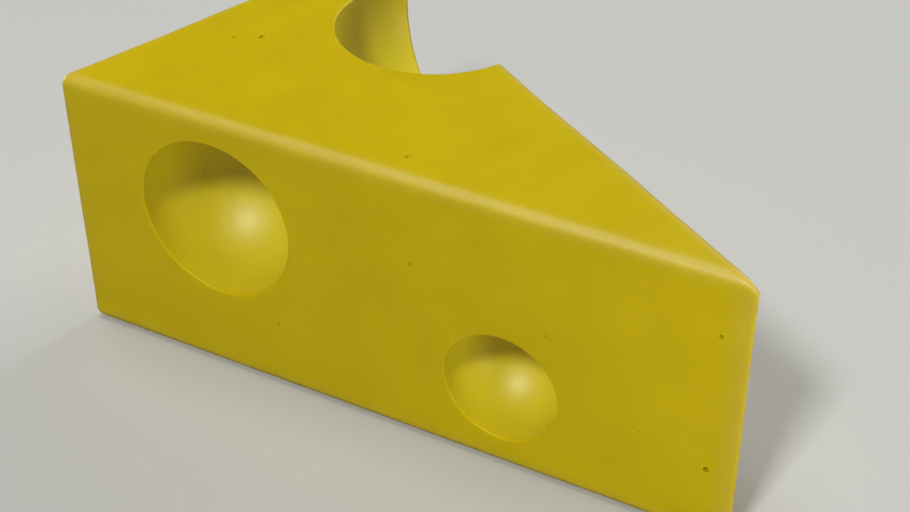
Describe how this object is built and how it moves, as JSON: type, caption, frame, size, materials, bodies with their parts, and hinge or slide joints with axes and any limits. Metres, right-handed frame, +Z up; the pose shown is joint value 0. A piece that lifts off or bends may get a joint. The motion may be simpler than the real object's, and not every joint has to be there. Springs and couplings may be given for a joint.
{
  "type": "cheese wedge",
  "caption": "Triangular wedge of firm yellow cheese with flat cut faces, softly rounded edges and round open eyes, lying on a flat side.",
  "frame": {"origin": "middle of the bounding box, on the resting face", "axes": "+X from the heel to the tip, +Y towards the far cut face, +Z up"},
  "size_m": [0.1192, 0.0702, 0.0504],
  "materials": {
    "cheese": "satin"
  },
  "bodies": {
    "root": {"cheese_wedge": "cheese"}
  },
  "joints": []
}
